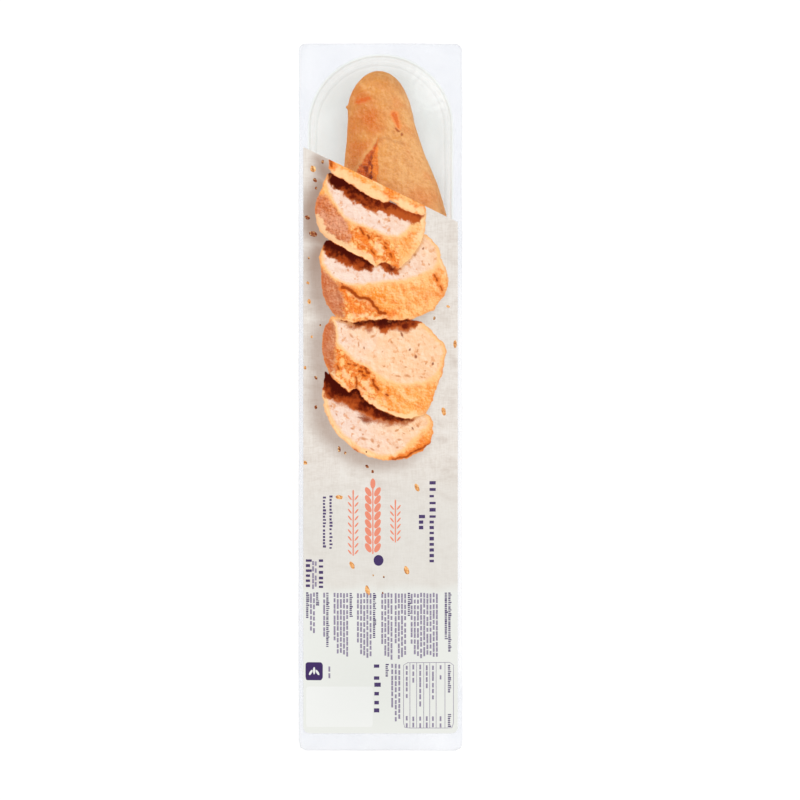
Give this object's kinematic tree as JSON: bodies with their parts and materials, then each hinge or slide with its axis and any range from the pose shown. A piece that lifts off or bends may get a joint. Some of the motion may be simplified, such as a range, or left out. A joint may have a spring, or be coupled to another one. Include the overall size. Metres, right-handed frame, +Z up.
{
  "type": "packaged baguette",
  "caption": "Part-baked baguette sealed in a long clear formed tray with a rounded head, a clear lidding film and a printed label that leaves the tip of the loaf in view.",
  "frame": {"origin": "middle of the pack's footprint, on the surface that the tray rests on", "axes": "+Y along the pack towards its rounded head, +X across the pack, +Z up out of the lid"},
  "size_m": [0.093, 0.4, 0.0541],
  "materials": {
    "tray_film": "clear, faintly milky formed film",
    "crust": null,
    "lidding_film": "clear thin film, slightly wavy",
    "label_print": "satin printed film"
  },
  "bodies": {
    "root": {"tray": "tray_film", "loaf": "crust", "lid_film": "lidding_film", "front_label": "label_print"}
  },
  "joints": []
}
